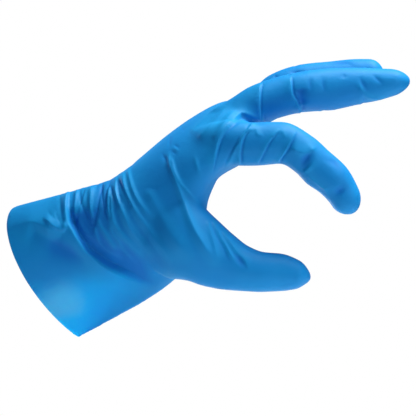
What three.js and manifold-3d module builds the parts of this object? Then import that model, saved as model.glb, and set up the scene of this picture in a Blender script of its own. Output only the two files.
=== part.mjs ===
// Disposable nitrile glove in the form it keeps when worn on a left hand that is about to pinch:
// the index finger bends down over the thumb, the other fingers reach forward.
// It is one dipped film without seams, so it is one hollow solid, open at the cuff.
// Millimetres. +X runs from the cuff to the fingertips, +Z is the back of the hand,
// and the thumb side faces -Y. The origin is the middle of the cuff's opening.

import * as THREE from 'three';
import Module from 'manifold-3d';

// The film's wall. The real film is about 0.1 mm; this is the wall that stands for it.
const wall = 1.2;

// Lengths: opening to index knuckle, then each finger from its knuckle to its tip.
const handLength = 126;
const indexLength = 92;
const middleLength = 104;
const ringLength = 90;
const littleLength = 78;
const thumbLength = 92;

// Girths of the body of the glove: from palm to back (deep) and from side to side (wide).
const cuffDeep = 83;
const cuffWide = 52;
const wristDeep = 68.5;
const wristWide = 58;
const knuckleDeep = 36;
const knuckleWide = 78;

// Thicknesses of the finger stalls at their roots.
const indexThick = 23;
const middleThick = 24;
const ringThick = 21.5;
const littleThick = 19;
const thumbThick = 43;

// Folds: how high and wide a full ridge is, how deep and wide a full crease at a joint is, and how far
// the hollow is cut on past the rim.
const foldHeight = 3.2;
const foldWidth = 5.2;
const creaseDepth = 1.5;
const creaseWidth = 3.4;
const mouthReach = 6;

// Facets: sides of each section, and sections along each limb.
const bodySides = 42;
const bodyRings = 36;
const fingerSides = 14;
const fingerRings = 18;

// Sections of the body, cuff to knuckles. along, up and away place the section's middle, in shares
// of handLength. deep and wide are shares of the named girth. tilt is the rise of the glove's line in
// degrees, turn swings the near side back out of the cuff, roll leans the back of the hand towards
// the thumb side, and crease presses the palm edge from round (0) to sharp (0.5).
const bodySections = [
  {
    along: 0.008, up: -0.009, away: 0.060, girth: 'cuff',
    deep: 1.00, wide: 1.00, tilt: 26, turn: 41, crease: 0.25,
  },
  {
    along: 0.153, up: 0.050, away: 0.045, girth: 'cuff',
    deep: 0.945, wide: 1.02, tilt: 28, turn: 31, crease: 0.27,
  },
  {
    along: 0.298, up: 0.111, away: 0.025, girth: 'cuff',
    deep: 0.89, wide: 1.02, tilt: 30, turn: 19, crease: 0.27,
  },
  {
    along: 0.425, up: 0.172, away: 0.015, girth: 'wrist',
    deep: 1.00, wide: 1.00, tilt: 28, turn: 8, roll: 2, crease: 0.18,
  },
  {
    along: 0.529, up: 0.262, away: 0.030, girth: 'wrist',
    deep: 0.955, wide: 1.10, tilt: 28, roll: 5, crease: 0.08,
  },
  {
    along: 0.617, up: 0.385, away: 0.050, girth: 'knuckle',
    deep: 1.56, wide: 0.92, tilt: 26, roll: 9,
  },
  {
    along: 0.680, up: 0.495, away: 0.060, girth: 'knuckle',
    deep: 1.22, wide: 0.98, tilt: 18, roll: 12,
  },
  {
    along: 0.764, up: 0.581, away: 0.065, girth: 'knuckle',
    deep: 1.00, wide: 1.00, tilt: 12, roll: 14,
  },
  {
    along: 0.866, up: 0.630, away: 0.068, girth: 'knuckle',
    deep: 0.94, wide: 0.98, tilt: 10, roll: 15,
  },
  {
    along: 0.955, up: 0.668, away: 0.072, girth: 'knuckle',
    deep: 0.74, wide: 0.90, tilt: 18, roll: 14,
  },
];

// Sections of each stall. along, up and away place the section's middle from the knuckle, in shares
// of the finger's length; thick is a share of the finger's thickness and wide is the section's
// breadth over its thickness.
const indexSections = [
  { along: -0.290, up: -0.070, away: 0.14, thick: 0.60, wide: 1.00, tilt: 5 },
  { along: -0.120, up: -0.020, away: 0.03, thick: 0.98, wide: 1.00, tilt: 5 },
  { along: 0.020, up: -0.011, away: 0.00, thick: 1.09, wide: 0.96, tilt: 4 },
  { along: 0.170, up: -0.014, away: -0.02, thick: 1.07, wide: 0.92, tilt: 0 },
  { along: 0.335, up: -0.008, away: -0.03, thick: 1.03, wide: 0.92, tilt: -7 },
  { along: 0.482, up: -0.073, away: -0.04, thick: 0.96, wide: 0.96, tilt: -27 },
  { along: 0.566, up: -0.150, away: -0.04, thick: 0.96, wide: 0.92, tilt: -37 },
  { along: 0.660, up: -0.226, away: -0.04, thick: 0.90, wide: 0.96, tilt: -46 },
  { along: 0.720, up: -0.308, away: -0.03, thick: 0.80, wide: 1.00, tilt: -57 },
  { along: 0.782, up: -0.440, away: -0.03, thick: 0.69, wide: 1.06, tilt: -68 },
];
const middleSections = [
  { along: -0.230, up: -0.130, away: 0.03, thick: 0.70, wide: 0.95, tilt: 22 },
  { along: 0.000, up: -0.012, away: 0.00, thick: 0.96, wide: 0.96, tilt: 24 },
  { along: 0.122, up: 0.076, away: 0.00, thick: 0.99, wide: 0.90, tilt: 20 },
  { along: 0.290, up: 0.126, away: 0.01, thick: 0.91, wide: 0.95, tilt: 13 },
  { along: 0.395, up: 0.146, away: 0.01, thick: 0.95, wide: 0.95, tilt: 7 },
  { along: 0.515, up: 0.155, away: 0.02, thick: 1.00, wide: 0.88, tilt: 5 },
  { along: 0.690, up: 0.175, away: 0.03, thick: 0.86, wide: 0.98, tilt: 5 },
  { along: 0.780, up: 0.182, away: 0.03, thick: 0.77, wide: 1.04, tilt: 4 },
  { along: 0.870, up: 0.193, away: 0.03, thick: 0.64, wide: 1.18, tilt: 5 },
  { along: 0.963, up: 0.203, away: 0.03, thick: 0.48, wide: 1.30, tilt: 5 },
];
const ringSections = [
  { along: -0.240, up: -0.130, away: -0.02, thick: 0.70, wide: 1.00, tilt: 26 },
  { along: 0.000, up: -0.012, away: 0.00, thick: 1.00, wide: 0.97, tilt: 28 },
  { along: 0.150, up: 0.080, away: 0.00, thick: 0.98, wide: 0.94, tilt: 32 },
  { along: 0.288, up: 0.176, away: 0.00, thick: 0.97, wide: 0.94, tilt: 27 },
  { along: 0.440, up: 0.224, away: 0.00, thick: 0.99, wide: 0.96, tilt: 11 },
  { along: 0.628, up: 0.250, away: -0.01, thick: 0.94, wide: 0.92, tilt: 7 },
  { along: 0.800, up: 0.270, away: -0.02, thick: 0.90, wide: 0.96, tilt: 5 },
  { along: 0.960, up: 0.276, away: -0.03, thick: 0.82, wide: 0.98, tilt: 3 },
];
const littleSections = [
  { along: -0.300, up: -0.120, away: -0.14, thick: 0.60, wide: 1.00, tilt: 22 },
  { along: -0.120, up: -0.050, away: -0.04, thick: 0.98, wide: 1.00, tilt: 24 },
  { along: 0.040, up: 0.022, away: 0.00, thick: 1.04, wide: 0.98, tilt: 26 },
  { along: 0.250, up: 0.150, away: 0.01, thick: 0.98, wide: 0.94, tilt: 26 },
  { along: 0.520, up: 0.262, away: 0.00, thick: 0.95, wide: 0.96, tilt: 12 },
  { along: 0.760, up: 0.272, away: -0.02, thick: 0.88, wide: 0.96, tilt: 0 },
  { along: 0.940, up: 0.264, away: -0.04, thick: 0.76, wide: 1.02, tilt: -4 },
];
const thumbSections = [
  { along: -0.310, up: 0.070, away: 0.20, thick: 0.55, wide: 0.90, tilt: 6 },
  { along: -0.140, up: 0.050, away: 0.09, thick: 0.95, wide: 0.86, tilt: 0 },
  { along: 0.020, up: 0.032, away: 0.03, thick: 1.13, wide: 0.80, tilt: -6 },
  { along: 0.124, up: -0.010, away: 0.00, thick: 1.00, wide: 0.84, tilt: -14 },
  { along: 0.215, up: -0.064, away: -0.02, thick: 0.89, wide: 0.82, tilt: -14 },
  { along: 0.320, up: -0.122, away: -0.03, thick: 0.74, wide: 0.86, tilt: -14 },
  { along: 0.440, up: -0.170, away: -0.04, thick: 0.60, wide: 0.96, tilt: -8 },
  { along: 0.555, up: -0.190, away: -0.04, thick: 0.53, wide: 1.02, tilt: 0 },
  { along: 0.660, up: -0.192, away: -0.03, thick: 0.50, wide: 1.02, tilt: 0 },
  { along: 0.755, up: -0.202, away: -0.03, thick: 0.38, wide: 1.22, tilt: -8 },
  { along: 0.835, up: -0.226, away: -0.02, thick: 0.22, wide: 1.60, tilt: -18 },
];

// Knuckles, in shares of handLength from the middle of the opening.
const stalls = [
  {
    name: 'index', length: indexLength, thick: indexThick,
    along: 0.814, up: 0.576, away: -0.150, tip: 0.42, sections: indexSections,
  },
  {
    name: 'middle', length: middleLength, thick: middleThick,
    along: 0.851, up: 0.688, away: 0.010, tip: 0.40, sections: middleSections,
  },
  {
    name: 'ring', length: ringLength, thick: ringThick,
    along: 0.843, up: 0.684, away: 0.195, tip: 0.36, sections: ringSections,
  },
  {
    name: 'little', length: littleLength, thick: littleThick,
    along: 0.790, up: 0.625, away: 0.345, tip: 0.44, sections: littleSections,
  },
  {
    name: 'thumb', length: thumbLength, thick: thumbThick,
    along: 0.580, up: 0.130, away: -0.155, tip: 0.18, sections: thumbSections,
  },
];

// Folds of the loose film on the thumb side: each runs through its stops, seen from that side, in
// shares of handLength. height is a share of foldHeight (negative for a furrow), width of foldWidth,
// and furrow is how deep the film sinks beside the ridge, on its hand side, as a share of the ridge.
const folds = [
  {
    height: 1.30, width: 1.15, furrow: 1.0,
    path: [[0.110, 0.325], [0.120, 0.190], [0.190, 0.070], [0.300, -0.005], [0.425, -0.050]],
  },
  {
    height: -0.80, width: 0.90,
    path: [[0.015, 0.300], [0.055, 0.215], [0.095, 0.190], [0.070, 0.330]],
  },
  {
    height: -0.90, width: 1.00,
    path: [[0.165, 0.345], [0.195, 0.240], [0.225, 0.210], [0.245, 0.360]],
  },
  {
    height: -0.85, width: 0.90,
    path: [[0.260, 0.375], [0.275, 0.260], [0.292, 0.222], [0.292, 0.400]],
  },
  {
    height: 1.20, width: 0.80, furrow: 0.7,
    path: [[0.366, 0.421], [0.395, 0.315], [0.475, 0.200], [0.560, 0.080]],
  },
  {
    height: 0.60, width: 0.75, furrow: 0.6,
    path: [[0.335, 0.305], [0.400, 0.190], [0.460, 0.105]],
  },
  {
    height: 0.55, width: 0.70, furrow: 0.5,
    path: [[0.295, 0.185], [0.360, 0.105], [0.380, 0.070]],
  },
  {
    height: -1.10, width: 0.85,
    path: [[0.556, 0.520], [0.585, 0.405], [0.640, 0.300], [0.700, 0.150], [0.790, 0.015]],
  },
  {
    height: -0.60, width: 0.75,
    path: [[0.575, 0.485], [0.610, 0.395], [0.700, 0.310]],
  },
  {
    height: -0.80, width: 0.70,
    path: [[0.880, 0.705], [0.805, 0.605], [0.760, 0.525], [0.756, 0.450]],
  },
  {
    height: -0.75, width: 0.65,
    path: [[0.960, 0.675], [0.870, 0.600], [0.825, 0.515], [0.800, 0.445]],
  },
  {
    height: -0.55, width: 0.70,
    path: [[0.735, 0.155], [0.770, 0.060], [0.900, -0.010]],
  },
  {
    height: -0.60, width: 0.70,
    path: [[0.845, 0.100], [0.885, 0.055], [0.905, 0.000]],
  },
];

// Creases where a stall bends: at is the share of its line from the inner end, depth a share of
// creaseDepth, width of creaseWidth, and side is the way the crease faces (-1 palm, 1 back, 0 all round).
const creases = {
  index: [
    { at: 0.50, depth: 0.7, width: 1.0, side: -1 },
    { at: 0.61, depth: 1.1, width: 1.0, side: -1 },
    { at: 0.80, depth: 0.9, width: 0.9, side: -1 },
  ],
  middle: [
    { at: 0.34, depth: 0.9, width: 1.0, side: 0 },
    { at: 0.51, depth: 1.2, width: 1.1, side: -1 },
    { at: 0.80, depth: 0.9, width: 1.0, side: 1 },
  ],
  ring: [
    { at: 0.50, depth: 0.9, width: 1.0, side: -1 },
    { at: 0.76, depth: 0.8, width: 0.9, side: -1 },
  ],
  little: [
    { at: 0.52, depth: 0.9, width: 1.0, side: -1 },
    { at: 0.78, depth: 0.8, width: 0.9, side: -1 },
  ],
  thumb: [
    { at: 0.46, depth: 0.8, width: 1.2, side: 0 },
    { at: 0.62, depth: 1.0, width: 1.0, side: 1 },
  ],
};

const girths = {
  cuff: { deep: cuffDeep, wide: cuffWide },
  wrist: { deep: wristDeep, wide: wristWide },
  knuckle: { deep: knuckleDeep, wide: knuckleWide },
};

const nitrile = new THREE.MeshStandardMaterial({ color: 0x1577c0, roughness: 0.42, metalness: 0.0 });

const radians = THREE.MathUtils.degToRad;

// A smooth curve through the values of one column, with no overshoot between them.
function smoothColumn(stops, values) {
  const steps = stops.slice(1).map((stop, i) => stop - stops[i]);
  const slopes = steps.map((step, i) => (values[i + 1] - values[i]) / step);
  const tangents = values.map((value, i) => {
    if (i === 0) return slopes[0];
    if (i === values.length - 1) return slopes[i - 1];
    if (slopes[i - 1] * slopes[i] <= 0) return 0;
    const before = 2 * steps[i] + steps[i - 1];
    const after = steps[i] + 2 * steps[i - 1];
    return (before + after) / (before / slopes[i - 1] + after / slopes[i]);
  });
  return (at) => {
    let i = 0;
    while (i < steps.length - 1 && at > stops[i + 1]) i += 1;
    const t = (at - stops[i]) / steps[i];
    const t2 = t * t;
    const t3 = t2 * t;
    return (2 * t3 - 3 * t2 + 1) * values[i] + (t3 - 2 * t2 + t) * steps[i] * tangents[i]
      + (3 * t2 - 2 * t3) * values[i + 1] + (t3 - t2) * steps[i] * tangents[i + 1];
  };
}

// The line and girths of one limb as functions of the share of its length, from real-size rows.
function limbColumns(rows) {
  const middles = rows.map((row) => row.middle);
  const stops = [0];
  for (let i = 1; i < middles.length; i += 1) stops.push(stops[i - 1] + middles[i].distanceTo(middles[i - 1]));
  const total = stops[stops.length - 1];
  const shares = stops.map((stop) => stop / total);
  const column = (read) => smoothColumn(shares, rows.map(read));
  return {
    total,
    x: column((row) => row.middle.x),
    y: column((row) => row.middle.y),
    z: column((row) => row.middle.z),
    deep: column((row) => row.deep),
    wide: column((row) => row.wide),
    tilt: column((row) => row.tilt),
    turn: column((row) => row.turn ?? 0),
    roll: column((row) => row.roll ?? 0),
    crease: column((row) => row.crease ?? 0),
  };
}

// One section of a limb: an oval whose palm edge may be pressed sharp, turned and rolled in space.
function sectionPoint(limb, share, angle, inset, shrink) {
  const tilt = radians(limb.tilt(share));
  const turn = radians(limb.turn(share));
  const roll = radians(limb.roll(share));
  const line = new THREE.Vector3(Math.cos(tilt), 0, Math.sin(tilt));
  const back = new THREE.Vector3(-Math.sin(tilt), 0, Math.cos(tilt));
  const near = new THREE.Vector3(0, -Math.cos(turn), 0).addScaledVector(line, -Math.sin(turn));
  const top = back.clone().multiplyScalar(Math.cos(roll)).addScaledVector(near, Math.sin(roll));
  const side = near.clone().multiplyScalar(Math.cos(roll)).addScaledVector(back, -Math.sin(roll));
  const crease = limb.crease(share);
  const pressed = ((1 + Math.cos(angle)) / 2) ** crease;
  const edgeInset = 1 + 2 * crease;
  const high = Math.max(limb.deep(share) * shrink / 2 - inset * (1 + edgeInset) / 2, wall / 2);
  const broad = Math.max(limb.wide(share) * shrink / 2 - inset, wall / 2);
  const lift = inset * (edgeInset - 1) / 2;
  return new THREE.Vector3(limb.x(share), limb.y(share), limb.z(share))
    .addScaledVector(top, high * Math.cos(angle) + lift)
    .addScaledVector(side, broad * Math.sin(angle) * pressed);
}

// Signed distance from a point to a fold's path in the side view, and the share along it.
function distanceToPath(x, z, path) {
  let best = { far: Infinity, side: 1, share: 0 };
  for (let i = 1; i < path.length; i += 1) {
    const [ax, az] = path[i - 1];
    const [bx, bz] = path[i];
    const dx = bx - ax;
    const dz = bz - az;
    const t = THREE.MathUtils.clamp(((x - ax) * dx + (z - az) * dz) / (dx * dx + dz * dz), 0, 1);
    const far = Math.hypot(x - ax - t * dx, z - az - t * dz);
    if (far < best.far) {
      const cross = (x - ax) * dz - (z - az) * dx;
      best = { far, side: Math.sign(cross) || 1, share: (i - 1 + t) / (path.length - 1) };
    }
  }
  return best;
}

// A fold stands full along its path and fades over its last part at each end.
function fadeAtEnds(share) {
  const fade = 0.18;
  const start = THREE.MathUtils.smoothstep(share, -fade / 3, fade);
  const end = THREE.MathUtils.smoothstep(1 - share, -fade / 3, fade);
  return start * end;
}

// How far the folds move a point of the thumb side along its normal.
function foldMove(point, facingNear) {
  const x = point.x / handLength;
  const z = point.z / handLength;
  let move = 0;
  for (const fold of folds) {
    const width = fold.width * foldWidth / handLength;
    const { far, side, share } = distanceToPath(x, z, fold.path);
    if (far > 4 * width) continue;
    const ridge = Math.exp(-((far / width) ** 2));
    const beside = side * far / width - 1.3;
    const furrow = (fold.furrow ?? 0) * Math.exp(-(beside * beside));
    move += fold.height * foldHeight * fadeAtEnds(share) * (ridge - furrow);
  }
  return move * THREE.MathUtils.smoothstep(facingNear, 0.05, 0.55);
}

// How far the creases at a stall's joints draw a point in.
function creaseMove(name, share, angle, total) {
  let move = 0;
  for (const crease of creases[name] ?? []) {
    const away = (share - crease.at) * total / (crease.width * creaseWidth);
    const facing = crease.side === 0 ? 1 : THREE.MathUtils.smoothstep(crease.side * Math.cos(angle), -0.5, 0.6);
    move -= crease.depth * creaseDepth * facing * Math.exp(-away * away);
  }
  return move;
}

// The rings of a limb: outer ones, and inner ones one wall inside them that sink and rise alike.
// round is the length of the rounded end, and mouth how far the inner rings run out of the cuff.
function limbRings(name, rows, ringCount, sideCount, round, mouth) {
  const limb = limbColumns(rows);
  const straight = 1 - round / limb.total;
  const endRings = Math.max(4, Math.round(ringCount * 0.2));
  const shares = [];
  for (let i = 0; i <= ringCount - endRings; i += 1) shares.push(straight * i / (ringCount - endRings));
  for (let i = 1; i < endRings; i += 1) {
    shares.push(straight + (1 - straight) * Math.sin(Math.PI / 2 * i / endRings));
  }
  const angles = Array.from({ length: sideCount }, (_, i) => 2 * Math.PI * i / sideCount);
  const shrinkAt = (share) => Math.sqrt(1 - (Math.max(0, share - straight) / (1 - straight)) ** 2);
  const ringsInset = (inset) => shares.map(
    (share) => angles.map((angle) => sectionPoint(limb, share, angle, inset, shrinkAt(share))),
  );
  const bare = ringsInset(0);
  const inside = ringsInset(wall);
  const outer = [];
  const inner = [];
  bare.forEach((ring, i) => {
    const before = bare[Math.max(0, i - 1)];
    const after = bare[Math.min(bare.length - 1, i + 1)];
    outer.push([]);
    inner.push([]);
    ring.forEach((point, j) => {
      const along = after[j].clone().sub(before[j]);
      const around = ring[(j + 1) % sideCount].clone().sub(ring[(j + sideCount - 1) % sideCount]);
      const normal = around.cross(along).normalize();
      const move = foldMove(point, -normal.y) + creaseMove(name, shares[i], angles[j], limb.total);
      outer[i].push(point.clone().addScaledVector(normal, move));
      inner[i].push(inside[i][j].clone().addScaledVector(normal, move));
    });
  });
  if (mouth > 0) {
    const tilt = radians(limb.tilt(0));
    const out = new THREE.Vector3(-Math.cos(tilt), 0, -Math.sin(tilt)).multiplyScalar(mouth);
    inner.unshift(inner[0].map((point) => point.clone().add(out)));
  }
  const end = new THREE.Vector3(limb.x(1), limb.y(1), limb.z(1));
  const last = new THREE.Vector3(Math.cos(radians(limb.tilt(1))), 0, Math.sin(radians(limb.tilt(1))));
  return { outer, inner, outerTip: end, innerTip: end.clone().addScaledVector(last, -wall) };
}

// A closed mesh from rings: a flat fan over the first ring, strips between rings, a fan to the tip.
function closedMesh(rings, tip) {
  const sideCount = rings[0].length;
  const points = rings.flat();
  const root = rings[0].reduce((sum, point) => sum.add(point), new THREE.Vector3()).divideScalar(sideCount);
  const rootIndex = points.push(root) - 1;
  const tipIndex = points.push(tip) - 1;
  const faces = [];
  for (let j = 0; j < sideCount; j += 1) {
    const next = (j + 1) % sideCount;
    faces.push([rootIndex, next, j]);
    for (let i = 0; i < rings.length - 1; i += 1) {
      const a = i * sideCount + j;
      const b = i * sideCount + next;
      faces.push([a, b, a + sideCount], [b, b + sideCount, a + sideCount]);
    }
    const base = (rings.length - 1) * sideCount;
    faces.push([base + j, base + next, tipIndex]);
  }
  return { points, faces };
}

function bodyRows() {
  return bodySections.map((row) => ({
    ...row,
    middle: new THREE.Vector3(row.along, row.away, row.up).multiplyScalar(handLength),
    deep: row.deep * girths[row.girth].deep,
    wide: row.wide * girths[row.girth].wide,
  }));
}

function stallRows(stall) {
  const knuckle = new THREE.Vector3(stall.along, stall.away, stall.up).multiplyScalar(handLength);
  return stall.sections.map((row) => ({
    tilt: row.tilt,
    middle: new THREE.Vector3(row.along, row.away, row.up).multiplyScalar(stall.length).add(knuckle),
    deep: row.thick * stall.thick,
    wide: row.thick * stall.thick * row.wide,
  }));
}

const wasm = await Module();
wasm.setup();

function solidFrom({ points, faces }) {
  const vertProperties = new Float32Array(points.flatMap((point) => [point.x, point.y, point.z]));
  const triVerts = new Uint32Array(faces.flat());
  return new wasm.Manifold(new wasm.Mesh({ numProp: 3, vertProperties, triVerts }));
}

// The glove: all limbs joined, less the same limbs one wall smaller.
function gloveSolid() {
  const limbs = [limbRings('body', bodyRows(), bodyRings, bodySides, knuckleDeep / 2, mouthReach)];
  for (const stall of stalls) {
    limbs.push(limbRings(stall.name, stallRows(stall), fingerRings, fingerSides, stall.tip * stall.thick, 0));
  }
  let film = solidFrom(closedMesh(limbs[0].outer, limbs[0].outerTip));
  for (const limb of limbs.slice(1)) film = film.add(solidFrom(closedMesh(limb.outer, limb.outerTip)));
  for (const limb of limbs) film = film.subtract(solidFrom(closedMesh(limb.inner, limb.innerTip)));
  return film;
}

function gloveShell() {
  const mesh = gloveSolid().getMesh();
  const geometry = new THREE.BufferGeometry();
  geometry.setAttribute('position', new THREE.BufferAttribute(mesh.vertProperties, mesh.numProp));
  geometry.setIndex(new THREE.BufferAttribute(mesh.triVerts, 1));
  geometry.computeVertexNormals();
  const shell = new THREE.Mesh(geometry, nitrile);
  shell.name = 'glove_shell';
  return shell;
}

const glove = new THREE.Group();
glove.name = 'disposable_glove';
glove.add(gloveShell());

export default glove;
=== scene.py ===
import math

import bmesh
import bpy
import numpy as np
from bpy.props import FloatProperty, FloatVectorProperty, IntProperty, PointerProperty
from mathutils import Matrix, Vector


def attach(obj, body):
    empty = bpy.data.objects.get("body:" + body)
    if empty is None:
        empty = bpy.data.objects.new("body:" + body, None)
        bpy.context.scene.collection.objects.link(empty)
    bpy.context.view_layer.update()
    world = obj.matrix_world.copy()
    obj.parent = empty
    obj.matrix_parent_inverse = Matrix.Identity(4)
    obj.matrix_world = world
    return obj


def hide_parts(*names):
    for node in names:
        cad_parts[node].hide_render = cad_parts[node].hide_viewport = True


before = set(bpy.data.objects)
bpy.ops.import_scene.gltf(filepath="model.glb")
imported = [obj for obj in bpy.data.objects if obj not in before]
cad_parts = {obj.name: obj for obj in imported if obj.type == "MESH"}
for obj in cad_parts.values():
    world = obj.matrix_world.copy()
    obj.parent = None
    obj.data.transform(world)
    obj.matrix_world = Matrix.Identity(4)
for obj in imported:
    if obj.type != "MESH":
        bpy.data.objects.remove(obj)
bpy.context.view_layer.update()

bl_info = {
    "name": "Disposable glove",
    "version": (1, 0, 0),
    "blender": (4, 5, 0),
    "location": "3D View > Sidebar > Glove",
    "description": "A dipped nitrile film glove in its worn form, with its folds and satin finish",
    "category": "Add Mesh",
}

MM = 0.001

# Sections of the body, from the cuff to the knuckles. along, up and away place the section's middle
# in shares of the hand length; deep and wide are shares of the named girth; tilt, turn and roll are
# degrees; crease presses the palm edge from round (0) to sharp (0.5).
BODY_COLUMNS = ("along", "up", "away", "girth", "deep", "wide", "tilt", "turn", "roll", "crease")
BODY_SECTIONS = (
    (0.008, -0.009, 0.060, "cuff", 1.00, 1.00, 26, 36, 0, 0.33),
    (0.153, 0.050, 0.045, "cuff", 0.945, 1.02, 28, 29, 0, 0.31),
    (0.298, 0.111, 0.025, "cuff", 0.89, 1.02, 30, 19, 0, 0.27),
    (0.425, 0.172, 0.015, "wrist", 1.00, 1.00, 28, 8, 2, 0.18),
    (0.529, 0.262, 0.030, "wrist", 0.955, 1.10, 28, 0, 5, 0.08),
    (0.617, 0.385, 0.050, "knuckle", 1.56, 0.92, 26, 0, 9, 0.00),
    (0.680, 0.495, 0.060, "knuckle", 1.22, 0.98, 18, 0, 12, 0.00),
    (0.764, 0.581, 0.065, "knuckle", 1.00, 1.00, 12, 0, 14, 0.00),
    (0.866, 0.630, 0.068, "knuckle", 0.94, 0.98, 10, 0, 15, 0.00),
    (0.955, 0.668, 0.072, "knuckle", 0.74, 0.90, 18, 0, 14, 0.00),
)

# Sections of each stall. along, up and away place the section's middle from its knuckle in shares of
# the finger's length; thick is a share of its thickness and wide its breadth over its thickness.
STALL_COLUMNS = ("along", "up", "away", "thick", "wide", "tilt")
INDEX_SECTIONS = (
    (-0.290, -0.070, 0.14, 0.60, 1.00, 5),
    (-0.120, -0.020, 0.03, 0.98, 1.00, 5),
    (0.020, -0.011, 0.00, 1.09, 0.96, 4),
    (0.170, -0.014, -0.02, 1.07, 0.92, 0),
    (0.335, -0.008, -0.03, 1.03, 0.92, -7),
    (0.476, -0.079, -0.04, 0.96, 0.96, -27),
    (0.558, -0.157, -0.04, 0.96, 0.92, -37),
    (0.652, -0.234, -0.04, 0.90, 0.96, -46),
    (0.711, -0.314, -0.03, 0.80, 1.00, -57),
    (0.772, -0.440, -0.03, 0.70, 1.06, -68),
)
MIDDLE_SECTIONS = (
    (-0.230, -0.130, 0.03, 0.70, 0.95, 22),
    (0.000, -0.012, 0.00, 0.96, 0.96, 24),
    (0.122, 0.067, 0.00, 0.94, 0.94, 20),
    (0.290, 0.124, 0.01, 0.95, 0.95, 13),
    (0.395, 0.146, 0.01, 0.95, 0.95, 7),
    (0.515, 0.155, 0.02, 1.00, 0.88, 5),
    (0.690, 0.175, 0.03, 0.86, 0.98, 5),
    (0.780, 0.182, 0.03, 0.77, 1.04, 4),
    (0.870, 0.193, 0.03, 0.64, 1.18, 5),
    (0.963, 0.203, 0.03, 0.48, 1.30, 5),
)
RING_SECTIONS = (
    (-0.240, -0.130, -0.02, 0.70, 1.00, 26),
    (0.000, -0.020, 0.00, 0.96, 0.97, 28),
    (0.160, 0.066, 0.00, 0.94, 0.96, 32),
    (0.288, 0.176, 0.00, 0.99, 0.94, 27),
    (0.440, 0.228, 0.00, 1.02, 0.96, 11),
    (0.628, 0.255, -0.01, 0.97, 0.92, 7),
    (0.800, 0.275, -0.02, 0.93, 0.96, 5),
    (0.970, 0.281, -0.03, 0.86, 0.98, 3),
)
LITTLE_SECTIONS = (
    (-0.300, -0.120, -0.14, 0.60, 1.00, 22),
    (-0.120, -0.050, -0.04, 0.98, 1.00, 24),
    (0.040, 0.022, 0.00, 1.04, 0.98, 26),
    (0.250, 0.150, 0.01, 0.98, 0.94, 26),
    (0.520, 0.262, 0.00, 0.95, 0.96, 12),
    (0.760, 0.272, -0.02, 0.88, 0.96, 0),
    (0.940, 0.264, -0.04, 0.76, 1.02, -4),
)
THUMB_SECTIONS = (
    (-0.310, 0.070, 0.20, 0.55, 0.90, 6),
    (-0.140, 0.030, 0.10, 0.84, 0.90, 0),
    (0.020, 0.032, 0.03, 1.13, 0.80, -6),
    (0.124, -0.010, 0.00, 1.00, 0.84, -14),
    (0.215, -0.064, -0.02, 0.89, 0.82, -14),
    (0.320, -0.122, -0.03, 0.74, 0.86, -14),
    (0.440, -0.165, -0.04, 0.59, 0.96, -8),
    (0.555, -0.185, -0.04, 0.52, 1.02, 0),
    (0.660, -0.187, -0.03, 0.49, 1.02, 0),
    (0.755, -0.202, -0.03, 0.38, 1.22, -8),
    (0.835, -0.226, -0.02, 0.22, 1.60, -18),
)

# Each stall: its sections, the knuckle's place in shares of the hand length, and how long its rounded
# end is as a share of its thickness.
STALLS = {
    "index": (INDEX_SECTIONS, (0.814, -0.150, 0.576), 0.42),
    "middle": (MIDDLE_SECTIONS, (0.851, 0.010, 0.688), 0.40),
    "ring": (RING_SECTIONS, (0.843, 0.195, 0.684), 0.36),
    "little": (LITTLE_SECTIONS, (0.790, 0.345, 0.625), 0.44),
    "thumb": (THUMB_SECTIONS, (0.580, -0.155, 0.130), 0.18),
}

# Where stalls grow out of the palm the film runs over in a round hollow: place (x, y, z), reach in
# millimetres, and how much of the smoothing it takes. The core is the share of the reach with all of it.
BLENDS = (
    ((70, -30, 38), 30, 1.0),
    ((88, -30, 28), 20, 1.0),
    ((66, -28, 5), 20, 1.0),
    ((92, -26, 72), 22, 1.0),
    ((112, -10, 84), 16, 1.0),
    ((108, 12, 96), 16, 0.9),
    ((118, 12, 88), 12, 0.8),
    ((104, 36, 88), 18, 0.9),
    ((118, 32, 88), 12, 0.8),
    ((84, -8, 12), 22, 1.0),
)
BLEND_CORE = 0.35

# How each kind of fold lies along its path: the share of the path over which it rises at its start and
# dies at its end, and its size at the start and at the end as a share of the size in its row.
FOLD_KINDS = {
    "ridge": (0.12, 0.30, 0.8, 1.5),
    "fan": (0.10, 0.25, 0.6, 1.9),
    "sheet": (0.15, 0.15, 0.7, 1.9),
    "lip": (0.25, 0.25, 1.0, 1.0),
    "dent": (0.70, 0.25, 1.0, 1.0),
    "hem": (0.40, 0.12, 1.0, 1.0),
    "valley": (0.12, 0.40, 1.0, 1.0),
    "pleat": (0.15, 0.15, 1.0, 1.0),
    "tongue": (0.30, 0.12, 1.5, 0.6),
    "crease": (0.15, 0.20, 1.0, 1.0),
    "tuck": (0.12, 0.40, 1.0, 1.0),
    "pucker": (0.50, 0.50, 1.0, 1.0),
}

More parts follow.
